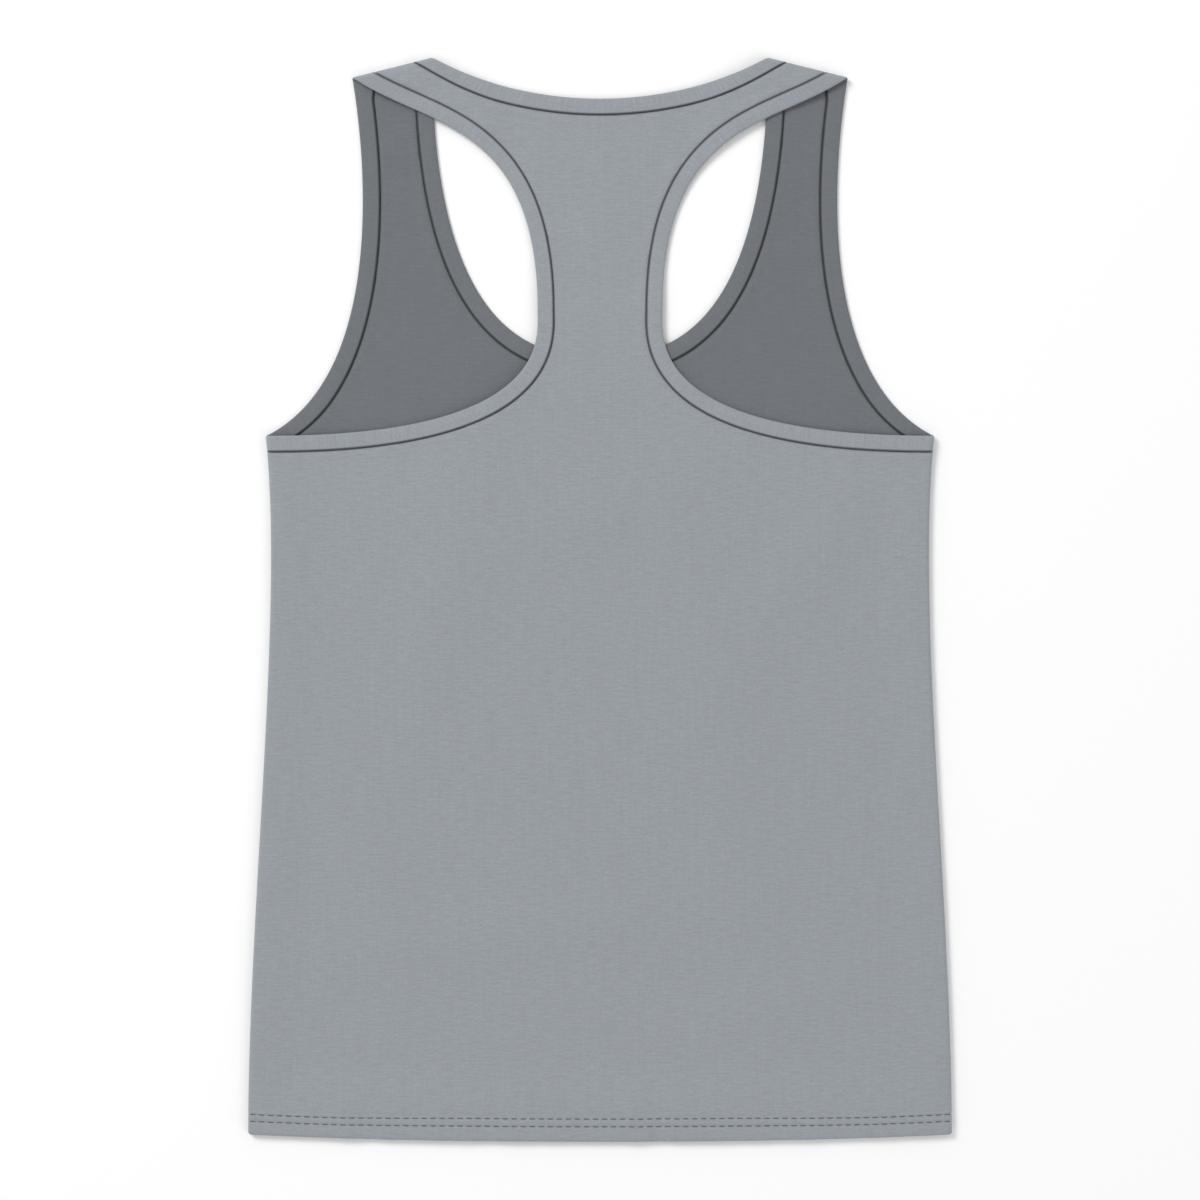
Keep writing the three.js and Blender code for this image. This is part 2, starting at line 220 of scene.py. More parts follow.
def plan(half, drop):
    return np.array([half, TOP - drop])


neck_point = plan(NECK_HALF, 0)
shoulder_tip = plan(SHOULDER_HALF, SHOULDER_DROP)
racer = plan(RACER_HALF, RACER_DROP)
armpit = plan(CHEST_HALF, ARMHOLE_DROP)
hem_corner = plan(HEM_HALF, LENGTH - HEM_RISE)

back_neck = Line(bezier(neck_point, (-35, -19), (31, 0), plan(0, BACK_NECK_DROP)))
front_neck = Line(bezier(neck_point, (-0.3, -188), (28, 0), plan(0, FRONT_NECK_DROP)))
front_armhole = Line(bezier(shoulder_tip, (-7, -40), (-78, 39), armpit))
back_armhole = Line(np.concatenate([
    bezier(shoulder_tip, (-44, -31), (0, 120), racer),
    bezier(racer, (0, -17), (-180, 0), armpit)[1:],
]))
side = Line(bezier(armpit, (-11.5, -108), (-0.4, 149), hem_corner))
shoulder = Line(np.array([neck_point, shoulder_tip]))

shoulder_line = shoulder.direction(0)
shoulder_out = square_to(shoulder_line)
side_line = side.direction(0)
side_out = square_to(side_line)

# The folds that bands cross: the way the fold runs, the way out of the garment, the band's width there
neck_at_shoulder = (shoulder_line, shoulder_out, NECK_BAND_AT_SHOULDER)
arm_at_shoulder = (-shoulder_line, shoulder_out, ARM_BAND_AT_SHOULDER)
arm_at_side = (side_line, side_out, ARM_BAND_AT_SIDE)


class Edge:
    """A bound edge of one layer, from the shoulder to the centre line or to the side."""

    def __init__(self, line, inward, width, start, turn_in, end=None):
        self.line = line
        self.inward = inward
        self.width = width
        self.meetings = [self.meeting(start, 0, turn_in)]
        if end is not None:
            self.meetings.append(self.meeting(end, 1, LONG_TURN_IN))

    def frame(self, distance):
        direction = self.line.direction(distance)
        return self.line.at(distance), direction, square_to(direction) * self.inward

    def meeting(self, fold, end, turn_in):
        """How the seam comes to run square into the fold at one end of the edge."""
        along, out, width = fold
        way = 1 - 2 * end
        reach = FOLD_RADIUS / abs(self.line.direction(end * self.line.length) @ out)
        start = end * self.line.length + way * reach
        point, direction, square = self.frame(start)
        shift = width * (along @ direction)
        across = width * (along @ square)
        foot, _, foot_square = self.frame(start + shift)
        return {
            "fold": fold, "way": way, "reach": reach, "start": start, "turn_in": turn_in,
            "shift": shift, "across": across, "miss": point + along * width - foot - foot_square * across,
        }

    def folded(self, meeting, turn):
        """Stations in a fold, for a row of its turns."""
        along, out, width = meeting["fold"]
        distance = meeting["start"] - meeting["way"] * meeting["reach"] * turn
        point, direction, _ = self.frame(distance)
        return {
            "arc": distance, "point": point, "turn": turn,
            "across": np.tile(along, (len(turn), 1)), "width": np.full(len(turn), width),
            "out": direction / (direction @ out)[:, None],
        }

    def flat(self, distance):
        """Stations between the folds."""
        point = self.line.at(distance)
        foot = distance.copy()
        width = np.full(len(distance), self.width)
        miss = np.zeros_like(point)
        for near in self.meetings:
            share = falloff((distance - near["start"]) * near["way"], 0, near["turn_in"])
            foot += near["shift"] * share
            width += (near["across"] - width) * share
            miss += near["miss"] * share[:, None]
        seam, _, square = self.frame(foot)
        across = seam + square * width[:, None] + miss - point
        span = np.linalg.norm(across, axis=1)
        return {
            "arc": distance, "point": point, "turn": np.zeros(len(distance)),
            "across": across / span[:, None], "width": span, "out": np.zeros_like(point),
        }

    def stations(self, spacing):
        """Stations along the whole edge: its points, the way across the band, and turns in a fold."""
        turns = np.sin(np.linspace(0, math.pi / 2, FOLD_STEPS))[1:]
        first, last = self.meetings[0], self.meetings[-1]
        finish = self.line.length if last is first else last["start"]
        count = math.ceil((finish - first["start"]) / spacing) + 1
        rows = [
            self.folded(first, turns[::-1]),
            self.flat(np.linspace(first["start"], finish, count)),
        ]
        if last is not first:
            rows.append(self.folded(last, turns))
        return {key: np.concatenate([row[key] for row in rows]) for key in rows[0]}

    def seam(self):
        """The line where the panel's edge is tucked into the band, deeper in the folds."""
        row = self.stations(EDGE_STEP)
        tuck = TUCK * (1 + 2 * row["turn"])
        return row["point"] + row["across"] * (row["width"] - tuck)[:, None]

    def from_end(self, arc, sign):
        """How far a place on the edge is from its last point, less than 0 on the left half."""
        return (self.line.length - arc) * sign


edges = {
    ("neck", "back"): Edge(back_neck, 1, BACK_BAND, neck_at_shoulder, LONG_TURN_IN),
    ("neck", "front"): Edge(front_neck, 1, FRONT_BAND, neck_at_shoulder, SHORT_TURN_IN),
    ("arm", "back"): Edge(back_armhole, -1, BACK_BAND, arm_at_shoulder, LONG_TURN_IN, arm_at_side),
    ("arm", "front"): Edge(front_armhole, -1, FRONT_BAND, arm_at_shoulder, SHORT_TURN_IN, arm_at_side),
}


def half_width(y):
    return np.interp(y, side.points[::-1, 1], side.points[::-1, 0])


def hem_height(x):
    return BOTTOM + HEM_RISE * np.clip(np.abs(x) / HEM_HALF, 0, 1) ** HEM_POWER


def hem_spread(x):
    """How much further from the edge the stitching runs than near the sides."""
    return 1 + DEEPER_IN_MIDDLE * falloff(np.abs(x), 75 * MM, 110 * MM)


def waves(along, lengths, seed):
    """Uneven ripples, about 1 high, from a few wavelengths in millimetres."""
    total = np.zeros_like(along)
    for k, length in enumerate(lengths):
        total += np.sin(2 * math.pi * along / (length * MM) + seed * 1.7 + k * 2.1)
    swing = 0.65 + 0.35 * np.sin(2 * math.pi * along / (61 * MM) + seed * 0.9)
    return total * swing / math.sqrt(len(lengths))


def swells(x, y):
    height = np.zeros_like(x)
    for swell in SWELLS:
        turn = math.radians(swell["angle"])
        dx, dy = x - swell["x"] * MM, y - swell["y"] * MM
        along = (dx * math.cos(turn) + dy * math.sin(turn)) / (swell["half_length"] * MM)
        beside = (dy * math.cos(turn) - dx * math.sin(turn)) / (swell["half_breadth"] * MM)
        height += swell["height"] * MM * np.exp(-along**2 - beside**2)
    return height


def back_height(x, y):
    """Height of the back panel's outer face: it lies on the front, and rises over bands and folds."""
    places = np.stack([np.abs(x), y], axis=1)
    neck_gap, _, in_cloth = front_neck.nearest(places)
    from_neck = np.where(in_cloth > 0, -neck_gap, neck_gap)
    base = IN_FRONT_NECK + (ON_PANEL - IN_FRONT_NECK) * falloff(from_neck, 8 * MM, LIFT_FADE)
    side_gap = side.nearest(places)[0]
    shoulder_gap = shoulder.nearest(places)[0]
    over_hem = y - BOTTOM
    lifts = (
        (ON_BAND, falloff(neck_gap, FRONT_BAND + 8 * MM, LIFT_FADE)),
        (ON_BAND, falloff(front_armhole.nearest(places)[0], FRONT_BAND + 8 * MM, LIFT_FADE)),
        (AT_FOLD, falloff(side_gap, 2 * FOLD_RADIUS, LIFT_FADE)),
        (AT_FOLD, falloff(shoulder_gap, 2 * FOLD_RADIUS, LIFT_FADE)),
        (AT_FOLD, falloff(over_hem, HEM_DEPTH + HEM_RISE, LIFT_FADE)),
    )
    # A high mean of the lifts is near the largest of them, with no crease where two are equal
    power = 8
    rise = sum(np.maximum((height - base) * share, 0) ** power for height, share in lifts)
    lying = base + np.minimum(rise ** (1 / power), AT_FOLD - base) + WALL

    # Soft unevenness of the cloth, and the ripples that the stitching draws into the hem
    inside = (1 - falloff(side_gap, 4 * MM, 25 * MM)) * (1 - falloff(shoulder_gap, 4 * MM, 25 * MM))
    near_hem = np.exp(-(((over_hem - 8 * MM) / (26 * MM)) ** 2))
    ripples = HEM_RIPPLE_HEIGHT * waves(x, (26, 37, 58), 5) * near_hem
    return lying + inside * (swells(x, y) * (1 - falloff(over_hem, 8 * MM, 25 * MM)) + ripples)


def lay(x, y, depth, layer, turn, out, proud=0.0):
    """Points of the cloth at a depth under its outer face, in plan or in a fold that has turned."""
    level = np.sqrt(1 - turn**2)
    if layer == "front":
        flat = depth
        edge_on = depth
    else:
        flat = back_height(x, y) + proud - depth
        edge_on = FOLD_HEIGHT + proud - depth
    z = np.where(turn > 0, FOLD_MIDDLE + (edge_on - FOLD_MIDDLE) * level, flat)
    inside = depth * turn
    return np.stack([x - out[:, 0] * inside, y - out[:, 1] * inside, z], axis=1)


def turns_at(x, y):
    """How far a panel's folds have turned at places in plan, and the way out of the garment there."""
    half = np.stack([np.abs(x), y], axis=1)
    from_shoulder = (shoulder_tip - half) @ shoulder_out
    from_side = half_width(y) - half[:, 0]
    at_shoulder = np.clip(1 - from_shoulder / FOLD_RADIUS, 0, 1)
    at_side = np.clip(1 - from_side / FOLD_RADIUS, 0, 1) * (y < armpit[1] - ARM_BAND_AT_SIDE / 2)
    sign = np.sign(x)
    out = np.where(
        (at_shoulder > at_side)[:, None],
        np.stack([sign * shoulder_out[0], np.full_like(x, shoulder_out[1])], axis=1),
        np.stack([sign, np.zeros_like(x)], axis=1),
    )
    return np.maximum(at_shoulder, at_side), out


def piece(name, points, faces, materials, face_material, uv, painted_seam_shade, node):
    """A mesh of fine cloth that rides on the part and may replace one of its solids."""
    mesh = bpy.data.meshes.new(name)
    mesh.from_pydata(points.tolist(), [], faces)
    for material in materials:
        mesh.materials.append(material)
    mesh.polygons.foreach_set("material_index", np.asarray(face_material, dtype=np.int32))
    mesh.polygons.foreach_set("use_smooth", np.ones(len(faces), dtype=bool))
    corners = np.empty(len(mesh.loops), dtype=np.int32)
    mesh.loops.foreach_get("vertex_index", corners)
    layer = mesh.uv_layers.new(name="UVMap")
    layer.data.foreach_set("uv", uv[corners].astype(np.float32).ravel())
    # A mask of painted shade in the ditches beside the seams, by which the materials darken the cloth
    attribute = mesh.attributes.new("painted_seam_shade", "FLOAT", "POINT")
    attribute.data.foreach_set("value", painted_seam_shade.astype(np.float32))
    mesh.update()
    thing = bpy.data.objects.new(name, mesh)
    bpy.context.scene.collection.objects.link(thing)
    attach(thing, "root")
    if node:
        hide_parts(node)
    return thing


def panel_boundary(layer):
    """The outline of a panel in plan, counter-clockwise from the middle of the hem."""
    hem_x = np.linspace(0, HEM_HALF, int(HEM_HALF / EDGE_STEP))
    hem = np.stack([hem_x, hem_height(hem_x)], axis=1)
    arm = edges["arm", layer].seam()[::-1]
    neck = edges["neck", layer].seam()
    low = hem_corner[1] + HEM_ROWS
    high = np.arange(low[-1] + EDGE_STEP, arm[0][1] - EDGE_STEP / 2, EDGE_STEP)
    side_y = np.concatenate([low, high])
    flank = np.stack([half_width(side_y), side_y], axis=1)
    strap = np.linspace(arm[-1], neck[0], int(np.linalg.norm(arm[-1] - neck[0]) / EDGE_STEP))
    right = np.concatenate([hem, flank, arm, strap[1:-1], neck])
    right[-1, 0] = 0
    left = right[-2:0:-1] * (-1, 1)
    return np.concatenate([right, left])


def within(boundary, places):
    """Which places lie inside a closed boundary."""
    inside = np.zeros(len(places), dtype=bool)
    for p, q in zip(boundary, np.roll(boundary, -1, axis=0)):
        rows = np.flatnonzero((p[1] > places[:, 1]) != (q[1] > places[:, 1]))
        crossing = p[0] + (places[rows, 1] - p[1]) * (q[0] - p[0]) / (q[1] - p[1])
        inside[rows] ^= places[rows, 0] < crossing
    return inside


def lattice(low, high, step):
    """A lattice of even triangles that fills a rectangle."""
    rows = np.arange(low[1], high[1], step * math.sqrt(3) / 2)
    columns = np.arange(low[0], high[0], step)
    x = columns[None] + (np.arange(len(rows)) % 2 * step / 2)[:, None]
    y = np.repeat(rows[:, None], len(columns), axis=1)
    return np.stack([x.ravel(), y.ravel()], axis=1)


def triangulated(boundary, inner):
    """Triangles in plan, none of which has a side across the cloth from edge to edge."""
    loop = [(k, (k + 1) % len(boundary)) for k in range(len(boundary))]
    while True:
        places = [Vector(place) for place in np.concatenate([boundary, inner])]
        made = delaunay_2d_cdt(places, loop, [], 1, 1e-7)
        points = np.array([tuple(point) for point in made[0]])
        triangles = np.array([tuple(face) for face in made[2]])
        on_edge = np.array([min(origin, default=len(places)) < len(boundary) for origin in made[3]])
        sides = np.sort(triangles[:, [[0, 1], [1, 2], [2, 0]]].reshape(-1, 2), axis=1)
        sides, uses = np.unique(sides, axis=0, return_counts=True)
        across = sides[(uses == 2) & on_edge[sides].all(axis=1)]
        if len(across) == 0:
            used, corners = np.unique(triangles, return_inverse=True)
            return points[used], corners.reshape(-1, 3), on_edge[used]
        inner = np.concatenate([inner, points[across].mean(axis=1)])


def panel_plan(layer):
    """Points and triangles of a panel in plan, in rows that follow its edges and its hem stitches."""
    boundary = panel_boundary(layer)
    inward = square_to(np.roll(boundary, -1, axis=0) - np.roll(boundary, 1, axis=0))
    inward /= np.linalg.norm(inward, axis=1, keepdims=True)
    outline = Line(np.concatenate([boundary, boundary[:1]]))
    rows = []
    for offset in EDGE_OFFSETS:
        row = boundary + inward * offset
        gap = outline.nearest(row)[0]
        rows.append(row[np.abs(gap - offset) < 0.05 * offset + 0.01 * MM])
    body = lattice(boundary.min(axis=0), boundary.max(axis=0), BODY_STEP)
    top_row = hem_height(body[:, 0]) + HEM_ROWS[-1] * hem_spread(body[:, 0])
    body = body[body[:, 1] > top_row + BODY_STEP / 2]
    half_count = int(HEM_HALF / STITCH_PITCH * 4)
    columns = np.arange(-half_count, half_count + 1) * STITCH_PITCH / 4
    hem_x, over_hem = (values.ravel() for values in np.meshgrid(columns, HEM_ROWS))
    hem = np.stack([hem_x, hem_height(hem_x) + over_hem * hem_spread(hem_x)], axis=1)
    grid = np.concatenate([body, hem])
    grid = grid[within(boundary, grid)]
    grid = grid[outline.nearest(grid)[0] > EDGE_OFFSETS[-1] + 0.8 * MM]
    return triangulated(boundary, np.concatenate([*rows, grid]))


def gathers(gap, along, seed):
    """Puckers close beside a seam, and longer ripples that fade further into the cloth."""
    fine = PUCKER_HEIGHT * np.exp(-gap / (6 * MM)) * waves(along, PUCKERS, seed)
    broad = RIPPLE_HEIGHT * falloff(gap, 2 * MM, 45 * MM) ** 2 * waves(along, RIPPLES, seed)
    return fine + broad


def hem_relief(x, over_hem):
    """Height of the hem over plain cloth: its second ply, the two sunk rows and the ridge between."""
    level = over_hem / hem_spread(x)
    sunk = sum(np.exp(-(((level - row) / (0.6 * MM)) ** 2)) for row in STITCH_ROWS)
    dimples = 0.5 + 0.5 * np.cos(2 * math.pi * x / STITCH_PITCH)
    ridge = 0.15 * MM * np.exp(-(((level - sum(STITCH_ROWS) / 2) / (1.3 * MM)) ** 2))
    roping = 0.12 * MM * waves(x + 0.5 * over_hem, PUCKERS, 3) * falloff(over_hem, 7 * MM, 6 * MM)
    return 0.3 * MM + ridge + roping - sunk * (0.26 + 0.08 * dimples) * MM


def panel(name, layer, node, materials):
    """A panel of jersey: rolled at its seams, turned at its folds, doubled at its hem."""
    points, triangles, on_edge = panel_plan(layer)
    x, y = points.T
    half = np.stack([np.abs(x), y], axis=1)
    seam_gap = np.full(len(x), 1.0)
    drawn = np.zeros(len(x))
    centre_fade = {"neck": 1, "arm": 1 - falloff(np.abs(x), 0, 15 * MM)}
    for seed, opening in enumerate(("neck", "arm"), 1):
        edge = edges[opening, layer]
        gap = Line(edge.seam()).nearest(half)[0]
        along = edge.from_end(edge.line.nearest(half)[1], np.where(x < 0, -1, 1))
        seam_gap = np.minimum(seam_gap, gap)
        drawn += gathers(gap, along, seed) * centre_fade[opening]
    over_hem = np.maximum(y - hem_height(x), 0)
    turn, out = turns_at(x, y)

    # Every edge rolls in by half its thickness
    plies = falloff(over_hem, HEM_DEPTH - 0.5 * MM, 1 * MM)
    thickness = SHEET + (DOUBLE - SHEET) * plies
    to_fold_seam = np.where(turn > 0, FOLD_RADIUS * np.arccos(np.clip(turn, 0, 1)), 1.0)
    edge_gap = np.minimum(np.minimum(seam_gap, to_fold_seam), over_hem)
    edge_gap[on_edge] = 0
    radius = thickness / 2
    rolled = radius - np.sqrt(radius**2 - (radius - np.minimum(edge_gap * 0.7, radius)) ** 2)

    # What the seams and the hem press through, and leave beside them
    calm = 1 - falloff(edge_gap, 0.3 * MM, 2.2 * MM)
    allowance = ALLOWANCE_HEIGHT * falloff(np.abs(seam_gap - 3.6 * MM), 1.4 * MM, 2 * MM)
    relief = (allowance + drawn * falloff(turn, 0, 0.3)) * calm * (1 - plies)
    relief += hem_relief(x, over_hem) * calm * plies
    if layer == "back":
        outer_depth = rolled - relief
        inner_depth = thickness - rolled - relief * (1 - plies)
    else:
        outer_depth = rolled
        inner_depth = thickness - rolled + relief
    outer = lay(x, y, outer_depth, layer, turn, out)
    inner = lay(x, y, inner_depth, layer, turn, out)

    # The two faces share the points of the edge
    keep = ~on_edge
    inner_index = np.where(on_edge, np.arange(len(x)), len(x) + np.cumsum(keep) - 1)
    faces = triangles if layer == "back" else triangles[:, ::-1]
    both = np.concatenate([faces, inner_index[faces[:, ::-1]]])
    # Painted shade: the cloth is darkened close beside the seams
    painted_seam_shade = falloff(seam_gap, 0.3 * MM, 0.9 * MM)
    thing = piece(
        name, np.concatenate([outer, inner[keep]]), both.tolist(), materials,
        np.repeat([0, 1], len(triangles)), np.concatenate([points, points[keep]]),
        np.concatenate([painted_seam_shade, painted_seam_shade[keep]]), node,
    )


def band_profile(width):
    """The section of a strip folded double: distance from the fold, depth under the outer face, and
    distance round the strip from the fold, which is less than 0 on the outer ply."""
    half = DOUBLE / 2
    end = PLY / 2
    span = width - half - end
    bend = math.pi * half / 2
    angle = np.linspace(-math.pi / 2, math.pi / 2, 9)
    fold = np.stack([half - half * np.cos(angle), half + half * np.sin(angle), half * angle], axis=1)

    # One ply, from the fold to the seam along its outer face and back along its inner face
    share = np.array([0.12, 0.3, 0.5, 0.7, 0.88, 1])
    face = np.stack([half + span * share, 0 * share, bend + span * share], axis=1)
    tip_angle = np.linspace(0, math.pi, 6)[1:-1]
    tip_across = end * np.sin(tip_angle)
    tip = np.stack([
        half + span + tip_across, end - end * np.cos(tip_angle), bend + span + tip_across,
    ], axis=1)
    share = np.array([1, 0.5, 0])
    back = np.stack([half + span * share, 0 * share + PLY, bend + span * share], axis=1)
    outer = np.concatenate([face, tip, back]) * (1, 1, -1)
    inner = outer * (1, -1, -1) + (0, DOUBLE, 0)
    return np.concatenate([fold, inner, outer[::-1]])


def band_ring(opening, layer, mirror):
    """Points, face coordinates and painted seam shade of one edge's stations, a section for each."""
    edge = edges[opening, layer]
    row = edge.stations(BAND_STEP)
    sections = np.stack([band_profile(width) for width in row["width"]])
    across, depth, strip = np.moveaxis(sections, 2, 0)
    toward_seam = np.clip(across / row["width"][:, None], 0, 1)
    sign = -1 if mirror else 1
    pucker = waves(edge.from_end(row["arc"], sign), PUCKERS, {"neck": 1, "arm": 2}[opening])
    puffed = BAND_PUFF * np.sin(math.pi * toward_seam) + BAND_PUCKER * pucker[:, None] * toward_seam**2
    puffed *= falloff(row["turn"], 0, 0.3)[:, None]
    if layer == "back":
        depth = depth - np.where(strip < 0, puffed, 0)
    else:
        depth = depth + np.where(strip > 0, puffed, 0)

    flip = np.array([sign, 1])
    spots = (row["point"][:, None] + row["across"][:, None] * across[..., None]) * flip
    count = across.shape[1]
    points = lay(
        spots[..., 0].ravel(), spots[..., 1].ravel(), depth.ravel(), layer,
        np.repeat(row["turn"], count), np.repeat(row["out"] * flip, count, axis=0), proud=DOUBLE - WALL,
    )
    uv = np.stack([strip, np.repeat(row["arc"][:, None], count, axis=1)], axis=2)
    # Painted shade: the band is darkened close beside its seam
    painted_seam_shade = falloff(row["width"][:, None] - across, 0.4 * MM, 0.9 * MM)
    return points.reshape(-1, count, 3), uv, painted_seam_shade


def part_of(ring, chosen):
    return tuple(values[chosen] for values in ring)


def joined(rings):
    return tuple(np.concatenate(values) for values in zip(*rings))


def neck_rings():
    halves = []
    for mirror in (False, True):
        back = part_of(band_ring("neck", "back", mirror), slice(None, None, -1))
        front = part_of(band_ring("neck", "front", mirror), slice(1, None))
        halves.append(joined([back, front]))
    return joined([halves[0], part_of(halves[1], slice(-2, 0, -1))])


def armhole_rings(mirror):
    back = part_of(band_ring("arm", "back", mirror), slice(-2, 0, -1))
    return joined([band_ring("arm", "front", mirror), back])


def skin(index):
    """Faces between rows of points, where each row is a ring and the last row is beside the first."""
    ahead = np.roll(index, -1, axis=0)
    return np.stack([index, np.roll(index, -1, axis=1), np.roll(ahead, -1, axis=1), ahead], axis=-1)


def band(name, rings, node, materials):
    """A band: one strip folded double and carried round its opening."""
    points, uv, painted_seam_shade = rings
    rows, around = points.shape[:2]
    quads = skin(np.arange(rows * around).reshape(rows, around)).reshape(-1, 4)
    flat = points.reshape(-1, 3)
    a, b, c = (flat[quads[:, k]] for k in range(3))
    if np.einsum("ij,ij->i", a, np.cross(b, c)).sum() < 0:
        quads = quads[:, ::-1]
    # Faces on the inner half of the band take the darker copy of the grey, which is painted shade
    strip = band_profile(BACK_BAND)[:, 2]
    is_inner = strip + np.roll(strip, -1) > 0
    thing = piece(
        name, flat, quads.tolist(), materials, np.tile(is_inner, rows), uv.reshape(-1, 2),
        painted_seam_shade.ravel(), node,
    )


def hem_stitches(name, layer, material):
    """Two rows of straight stitches, each a short thread that dips into the cloth at both ends."""
    around = np.linspace(0, 2 * math.pi, 8)[:-1]
    share = np.linspace(-1, 1, 9)
    thick = THREAD_RADIUS * (1 - 0.9 * share**8)
    ring = np.stack([0 * around, np.cos(around), np.sin(around)], axis=1)
    index = np.arange(len(share) * len(around)).reshape(len(share), len(around))
    threads = [index[0, ::-1].tolist(), *skin(index)[:-1].reshape(-1, 4).tolist(), index[-1].tolist()]
    count = 2 * int(HEM_HALF / STITCH_PITCH)
    points, faces = [], []
    for row in STITCH_ROWS:
        for k in range(count):
            x = (k - (count - 1) / 2) * STITCH_PITCH + share * STITCH_LENGTH / 2
            over_hem = row * hem_spread(x)
            y = hem_height(x) + over_hem
            turn, out = turns_at(x, y)
            sunk = 0.4 * MM * share**6
            lift = -0.1 * MM if layer == "front" else hem_relief(x, over_hem) + 0.14 * MM
            core = lay(x, y, sunk - lift, layer, turn, out)
            first = len(points) * index.size
            faces.extend([first + corner for corner in face] for face in threads)
            points.append((core[:, None] + thick[:, None, None] * ring).reshape(-1, 3))
    points = np.concatenate(points)
    piece(
        name, points, faces, [material], np.zeros(len(faces)), points[:, :2],
        np.zeros(len(points)), None,
    )


class Nodes:
    """A material's node tree, with short ways to add and link nodes."""

    def __init__(self, name):
        self.material = bpy.data.materials.new(name)
        self.material.use_nodes = True
        self.tree = self.material.node_tree
        self.shader = self.tree.nodes["Principled BSDF"]

    def put(self, socket, value):
        if isinstance(value, bpy.types.NodeSocket):
            self.tree.links.new(value, socket)
        else:
            socket.default_value = value

    def add(self, kind, inputs=None, **settings):
        node = self.tree.nodes.new(kind)
        for key, value in settings.items():
            setattr(node, key, value)
        for key, value in (inputs or {}).items():
            self.put(node.inputs[key], value)
        return node

    def math(self, operation, first, second=0.0, third=0.0):
        return self.add("ShaderNodeMath", {0: first, 1: second, 2: third}, operation=operation).outputs[0]

    def noise(self, vector, scale, detail, span):
        """A noise about 1 that swings by span."""
        node = self.add("ShaderNodeTexNoise", {"Vector": vector, "Scale": scale, "Detail": detail})
        return self.math("MULTIPLY_ADD", self.math("SUBTRACT", node.outputs["Fac"], 0.5), span, 1.0)

    def stretched(self, vector, x, y):
        return self.add("ShaderNodeMapping", {"Vector": vector, "Scale": (x, y, 1.0)}).outputs[0]

    def colour(self, colour, *factors):
        """A colour whose tone is the product of the factors."""
        tone = factors[0]
        for factor in factors[1:]:
            tone = self.math("MULTIPLY", tone, factor)
        shaded = self.add("ShaderNodeVectorMath", {0: colour, "Scale": tone}, operation="SCALE")
        self.put(self.shader.inputs["Base Color"], shaded.outputs[0])


def knit(name, colour, wrong_side=False):
    """Single jersey: columns of V stitches on the right side, rows of arcs on the wrong side."""
    n = Nodes(name)
    uv = n.add("ShaderNodeUVMap", uv_map="UVMap").outputs["UV"]
    axes = n.add("ShaderNodeSeparateXYZ", {0: uv})
    drift = n.noise(uv, scale=140.0, detail=2.0, span=0.5)
    column = n.math("ADD", n.math("DIVIDE", axes.outputs["X"], WALE), drift)
    row = n.math("DIVIDE", axes.outputs["Y"], COURSE)
    across = n.math("ABSOLUTE", n.math("SUBTRACT", n.math("FRACT", column), 0.5))
    if wrong_side:
        arc = n.math("MULTIPLY", n.math("COSINE", n.math("MULTIPLY", column, 2 * math.pi)), 0.28)
        swing = n.math("SINE", n.math("MULTIPLY", n.math("ADD", row, arc), 2 * math.pi))
        loops = n.math("MULTIPLY_ADD", swing, 0.4, 0.5)
    else:
        leg = n.math("MULTIPLY", n.math("SUBTRACT", across, 0.25), 4.0)
        left_over = n.math("SUBTRACT", 1.0, n.math("MULTIPLY", leg, leg))
        round_leg = n.math("SQRT", n.math("MAXIMUM", left_over, 0.0))
        phase = n.math("MULTIPLY", n.math("MULTIPLY_ADD", across, 1.4, row), 2 * math.pi)
        loops = n.math("MULTIPLY", round_leg, n.math("MULTIPLY_ADD", n.math("SINE", phase), 0.35, 0.65))
    height = n.math("ADD", loops, n.noise(uv, scale=2600.0, detail=3.0, span=0.5))
    bump = n.add("ShaderNodeBump", {"Strength": 0.6, "Distance": 0.18 * MM, "Height": height})

    # Yarn uneven along its rows, faint columns, soft flecks, and painted shade between loops and in the
    # ditches beside seams
    painted_seam_shade = n.add("ShaderNodeAttribute", attribute_name="painted_seam_shade").outputs["Fac"]
    n.colour(
        colour,
        n.noise(n.stretched(uv, 110.0, 900.0), scale=1.0, detail=3.0, span=0.28),
        n.noise(n.stretched(uv, 340.0, 28.0), scale=1.0, detail=2.0, span=0.08),
        n.noise(uv, scale=700.0, detail=2.0, span=0.26),
        n.math("MULTIPLY_ADD", loops, 0.16, 0.92),
        n.math("MULTIPLY_ADD", painted_seam_shade, -0.8, 1.0),
    )
    n.put(n.shader.inputs["Normal"], bump.outputs[0])
    n.put(n.shader.inputs["Roughness"], 0.92)
    n.put(n.shader.inputs["Specular IOR Level"], 0.25)
    n.put(n.shader.inputs["Sheen Weight"], 0.25)
    n.put(n.shader.inputs["Sheen Roughness"], 0.5)
    return n.material


def spun(name, colour):
    """Sewing thread: plies that wind round it."""
    n = Nodes(name)
    place = n.add("ShaderNodeTexCoord").outputs["Object"]
    slanted = n.add("ShaderNodeMapping", {"Vector": place, "Rotation": (0.0, 0.0, 0.6)}).outputs[0]
    wave = {"Vector": slanted, "Scale": 900.0, "Distortion": 0.6}
    twist = n.add("ShaderNodeTexWave", wave).outputs["Fac"]
    bump = n.add("ShaderNodeBump", {"Strength": 0.5, "Distance": 0.05 * MM, "Height": twist})
    # Painted shade: the thread is darker between its plies and lighter on their crowns
    n.colour(colour, n.math("MULTIPLY_ADD", twist, 0.3, 0.85))
    n.put(n.shader.inputs["Normal"], bump.outputs[0])
    n.put(n.shader.inputs["Roughness"], 0.6)
    n.put(n.shader.inputs["Sheen Weight"], 0.2)
    return n.material


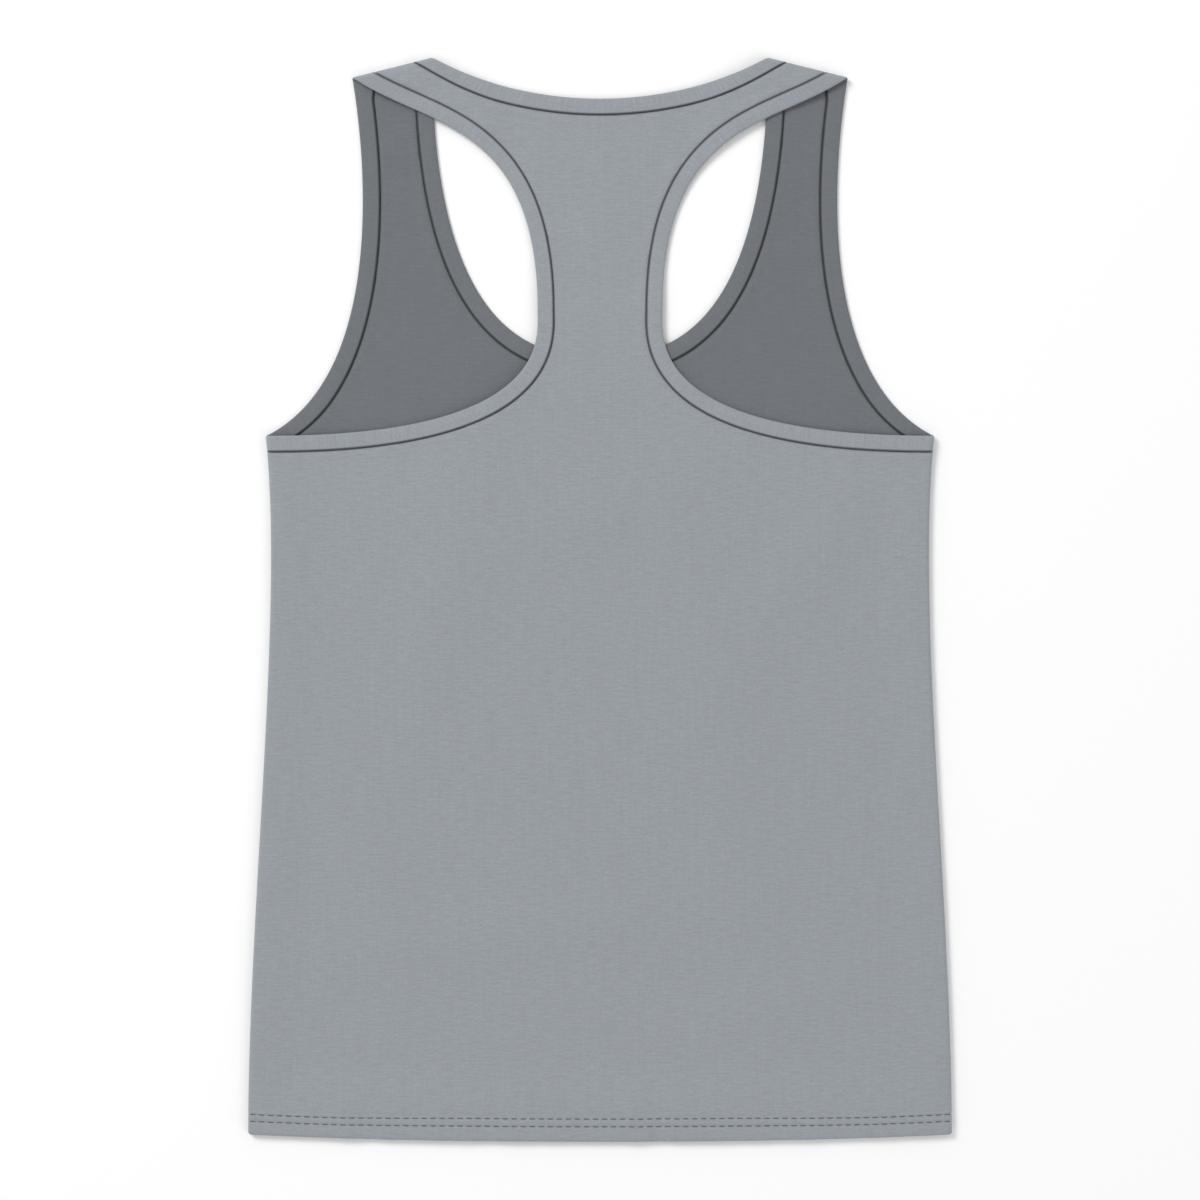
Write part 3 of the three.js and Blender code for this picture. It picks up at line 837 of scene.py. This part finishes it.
def garment():
    # Inner faces of the panels and bands take the darker grey, which is painted shade
    jersey = [knit("jersey", OUTSIDE_GREY), knit("jersey_inside", INSIDE_SHADED_GREY, wrong_side=True)]
    binding = [knit("binding", OUTSIDE_GREY), knit("binding_inside_shaded", INSIDE_SHADED_GREY)]
    thread = spun("thread", THREAD_GREY)
    panel("front_cloth", "front", "front_panel", jersey)
    panel("back_cloth", "back", "back_panel", jersey)
    band("neck_binding", neck_rings(), "neck_band", binding)
    for hand in ("left", "right"):
        band(f"{hand}_armhole_binding", armhole_rings(hand == "left"), f"armhole_band_{hand}", binding)
    hem_stitches("back_hem_stitches", "back", thread)
    hem_stitches("front_hem_stitches", "front", thread)


def floor():
    """A pale floor, just under the cloth."""
    bpy.ops.mesh.primitive_plane_add(size=8, location=(0, 0, -0.3 * MM))
    plane = bpy.context.object
    plane.name = "floor"
    n = Nodes("floor")
    n.put(n.shader.inputs["Base Color"], (0.97, 0.97, 0.97, 1))
    n.put(n.shader.inputs["Roughness"], 0.9)
    n.put(n.shader.inputs["Specular IOR Level"], 0.1)
    plane.data.materials.append(n.material)


def lights():
    """A soft key light from the upper left, a weak fill from the other side, and a pale room."""
    for name, place, size, power in (
        ("key", (-2.5, 2.35, 3.1), 1.8, 117),
        ("fill", (3.2, -2.4, 2.6), 3.0, 40),
    ):
        lamp = bpy.data.lights.new(name, "AREA")
        lamp.size = size
        lamp.energy = power
        light = bpy.data.objects.new(name, lamp)
        light.location = place
        light.rotation_euler = Vector(place).to_track_quat("Z", "Y").to_euler()
        bpy.context.scene.collection.objects.link(light)
    world = bpy.data.worlds.new("room")
    world.use_nodes = True
    background = world.node_tree.nodes["Background"]
    background.inputs["Color"].default_value = (1, 1, 1, 1)
    background.inputs["Strength"].default_value = 0.6
    bpy.context.scene.world = world
    bpy.context.scene.view_settings.view_transform = "Standard"


def camera():
    """Straight above. The picture's height spans 750 mm at the level of the cloth."""
    lens, sensor, span, level = 100, 36, 750 * MM, 3 * MM
    eye = bpy.data.objects.new("camera", bpy.data.cameras.new("camera"))
    eye.data.lens = lens
    eye.data.sensor_width = sensor
    eye.location = (0, TOP - LENGTH / 2 - 0.3 * MM, span * lens / sensor + level)
    bpy.context.scene.collection.objects.link(eye)
    bpy.context.scene.camera = eye


floor()
garment()
lights()
camera()
